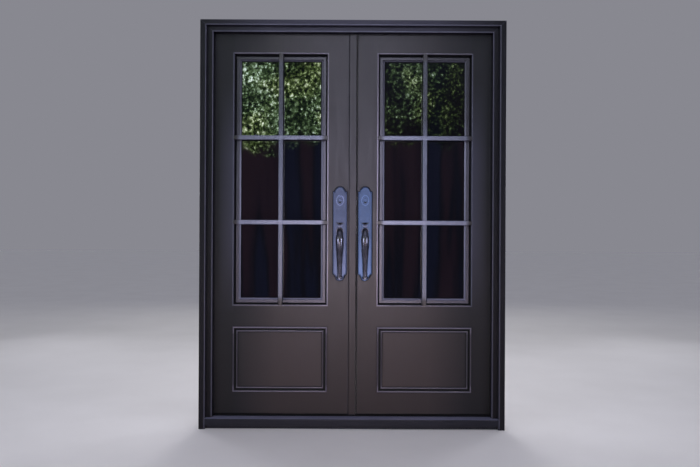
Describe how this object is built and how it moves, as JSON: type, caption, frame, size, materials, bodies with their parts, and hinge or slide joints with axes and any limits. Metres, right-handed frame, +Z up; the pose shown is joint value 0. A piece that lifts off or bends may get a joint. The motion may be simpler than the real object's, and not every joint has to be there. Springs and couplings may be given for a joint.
{
  "type": "double-leaf steel french entry door unit",
  "caption": "Pair of in-swinging steel french doors in a stepped steel frame, each leaf glazed above a moulded kick panel, with opening sashes, pulls, lock and flush bolts.",
  "frame": {"origin": "middle of the frame's width and depth, on the underside of the sill", "axes": "+X to the right seen from outside, +Y to the inside, +Z up"},
  "size_m": [1.822, 0.1984, 2.438],
  "materials": {
    "leaf_paint": "satin very dark bronze",
    "frame_paint": "satin very dark bronze",
    "sash_paint": "satin very dark bronze",
    "dark_bronze_hardware": "dark blue-grey bronze, satin",
    "bare_steel": "zinc plated",
    "black_rubber": "matt",
    "tinted_glass": "clear over a dark room"
  },
  "bodies": {
    "frame": {"left_jamb": "frame_paint", "right_jamb": "frame_paint", "head_jamb": "frame_paint", "threshold": "frame_paint", "frame_weatherstrip": "black_rubber", "hinge_frame_knuckles": "frame_paint", "hinge_pins": "bare_steel", "hinge_bearings": "bare_steel"},
    "left_leaf": {"left_hinge_door_knuckles": "leaf_paint", "left_hinge_stile": "leaf_paint", "left_meeting_stile": "leaf_paint", "left_top_rail": "leaf_paint", "left_lock_rail": "leaf_paint", "left_bottom_rail": "leaf_paint", "left_kick_panel": "leaf_paint", "left_panel_moulding": "leaf_paint", "left_muntin_grille": "leaf_paint", "left_sash_seal": "black_rubber", "left_outer_plate": "dark_bronze_hardware", "left_pull_grip": "dark_bronze_hardware", "left_inner_plate": "dark_bronze_hardware", "left_sash_hinge": "dark_bronze_hardware", "astragal": "leaf_paint", "strike_plate": "bare_steel", "left_cylinder": "dark_bronze_hardware"},
    "right_leaf": {"right_hinge_door_knuckles": "leaf_paint", "right_hinge_stile": "leaf_paint", "right_meeting_stile": "leaf_paint", "right_top_rail": "leaf_paint", "right_lock_rail": "leaf_paint", "right_bottom_rail": "leaf_paint", "right_kick_panel": "leaf_paint", "right_panel_moulding": "leaf_paint", "right_muntin_grille": "leaf_paint", "right_sash_seal": "black_rubber", "right_outer_plate": "dark_bronze_hardware", "right_pull_grip": "dark_bronze_hardware", "right_inner_plate": "dark_bronze_hardware", "right_sash_hinge": "dark_bronze_hardware", "lock_case": "bare_steel"},
    "left_sash": {"left_sash_frame": "sash_paint", "left_sash_glass": "tinted_glass"},
    "left_upper_button": {"left_sash_latch_upper": "dark_bronze_hardware"},
    "left_lower_button": {"left_sash_latch_lower": "dark_bronze_hardware"},
    "left_thumb": {"left_thumb_piece": "dark_bronze_hardware"},
    "left_cover": {"left_keyhole_cover": "dark_bronze_hardware"},
    "left_knob": {"left_inner_knob": "dark_bronze_hardware"},
    "right_sash": {"right_sash_frame": "sash_paint", "right_sash_glass": "tinted_glass"},
    "right_upper_button": {"right_sash_latch_upper": "dark_bronze_hardware"},
    "right_lower_button": {"right_sash_latch_lower": "dark_bronze_hardware"},
    "right_thumb": {"right_thumb_piece": "dark_bronze_hardware"},
    "right_cover": {"right_keyhole_cover": "dark_bronze_hardware"},
    "right_knob": {"right_inner_knob": "dark_bronze_hardware"},
    "top_bolt": {"top_flush_bolt": "bare_steel"},
    "bottom_bolt": {"bottom_flush_bolt": "bare_steel"},
    "turn": {"thumbturn": "dark_bronze_hardware"},
    "key_cylinder": {"right_cylinder": "dark_bronze_hardware"},
    "latch": {"latch_bolt": "bare_steel"},
    "dead_lock": {"dead_bolt": "bare_steel"}
  },
  "joints": [
    {"name": "left_leaf_swing", "type": "hinge", "parent": "frame", "child": "left_leaf", "pos_m": [-0.849, 0.074, 1.23], "axis": [0, 0, 1], "range_deg": [0, 105]},
    {"name": "left_sash_swing", "type": "hinge", "parent": "left_leaf", "child": "left_sash", "pos_m": [-0.7125, 0.068, 1.491], "axis": [0, 0, 1], "range_deg": [0, 95]},
    {"name": "left_lower_button_turn", "type": "hinge", "parent": "left_leaf", "child": "left_lower_button", "pos_m": [-0.136, 0.065, 1], "axis": [0, -1, 0], "range_deg": [0, 90]},
    {"name": "left_upper_button_turn", "type": "hinge", "parent": "left_leaf", "child": "left_upper_button", "pos_m": [-0.136, 0.065, 1.95], "axis": [0, -1, 0], "range_deg": [0, 90]},
    {"name": "left_thumb_press", "type": "hinge", "parent": "left_leaf", "child": "left_thumb", "pos_m": [-0.076, 0.01, 1.241], "axis": [-1, 0, 0], "range_deg": [0, 10], "stiffness_Nm_per_rad": 0.6, "springref_deg": 14.32},
    {"name": "left_cover_swing", "type": "hinge", "parent": "left_leaf", "child": "left_cover", "pos_m": [-0.076, -0.0066, 1.388], "axis": [0, 1, 0], "range_deg": [-80, 80]},
    {"name": "left_knob_turn", "type": "hinge", "parent": "left_leaf", "child": "left_knob", "pos_m": [-0.076, 0.085, 1.205], "axis": [0, 1, 0], "range_deg": [-45, 45], "stiffness_Nm_per_rad": 0.6},
    {"name": "right_leaf_swing", "type": "hinge", "parent": "frame", "child": "right_leaf", "pos_m": [0.849, 0.074, 1.23], "axis": [0, 0, -1], "range_deg": [0, 105]},
    {"name": "right_sash_swing", "type": "hinge", "parent": "right_leaf", "child": "right_sash", "pos_m": [0.7125, 0.068, 1.491], "axis": [0, 0, -1], "range_deg": [0, 95]},
    {"name": "right_lower_button_turn", "type": "hinge", "parent": "right_leaf", "child": "right_lower_button", "pos_m": [0.136, 0.065, 1], "axis": [0, 1, 0], "range_deg": [0, 90]},
    {"name": "right_upper_button_turn", "type": "hinge", "parent": "right_leaf", "child": "right_upper_button", "pos_m": [0.136, 0.065, 1.95], "axis": [0, 1, 0], "range_deg": [0, 90]},
    {"name": "right_thumb_press", "type": "hinge", "parent": "right_leaf", "child": "right_thumb", "pos_m": [0.076, 0.01, 1.241], "axis": [-1, 0, 0], "range_deg": [0, 10.1]},
    {"name": "right_cover_swing", "type": "hinge", "parent": "right_leaf", "child": "right_cover", "pos_m": [0.076, -0.0066, 1.388], "axis": [0, 1, 0], "range_deg": [-80, 80]},
    {"name": "right_knob_turn", "type": "hinge", "parent": "right_leaf", "child": "right_knob", "pos_m": [0.076, 0.085, 1.205], "axis": [0, 1, 0], "range_deg": [-45, 45], "stiffness_Nm_per_rad": 0.6},
    {"name": "top_bolt_slide", "type": "slide", "parent": "left_leaf", "child": "top_bolt", "axis": [0, 0, 1], "range_m": [0, 0.02]},
    {"name": "bottom_bolt_slide", "type": "slide", "parent": "left_leaf", "child": "bottom_bolt", "axis": [0, 0, -1], "range_m": [0, 0.02]},
    {"name": "thumbturn_turn", "type": "hinge", "parent": "right_leaf", "child": "turn", "pos_m": [0.076, 0.08, 1.358], "axis": [0, 1, 0], "range_deg": [0, 90.1]},
    {"name": "key_cylinder_turn", "type": "hinge", "parent": "right_leaf", "child": "key_cylinder", "pos_m": [0.076, 0, 1.358], "axis": [0, 1, 0], "range_deg": [0, 90.1]},
    {"name": "latch_bolt_slide", "type": "slide", "parent": "right_leaf", "child": "latch", "axis": [-1, 0, 0], "range_m": [0, 0.014]},
    {"name": "dead_bolt_slide", "type": "slide", "parent": "right_leaf", "child": "dead_lock", "axis": [-1, 0, 0], "range_m": [0, 0.02]}
  ],
  "couplings": [
    {"joint": "right_thumb_press", "follows": "latch_bolt_slide", "rad_per_m": 12.467},
    {"joint": "thumbturn_turn", "follows": "dead_bolt_slide", "rad_per_m": 78.54},
    {"joint": "key_cylinder_turn", "follows": "dead_bolt_slide", "rad_per_m": 78.54}
  ]
}
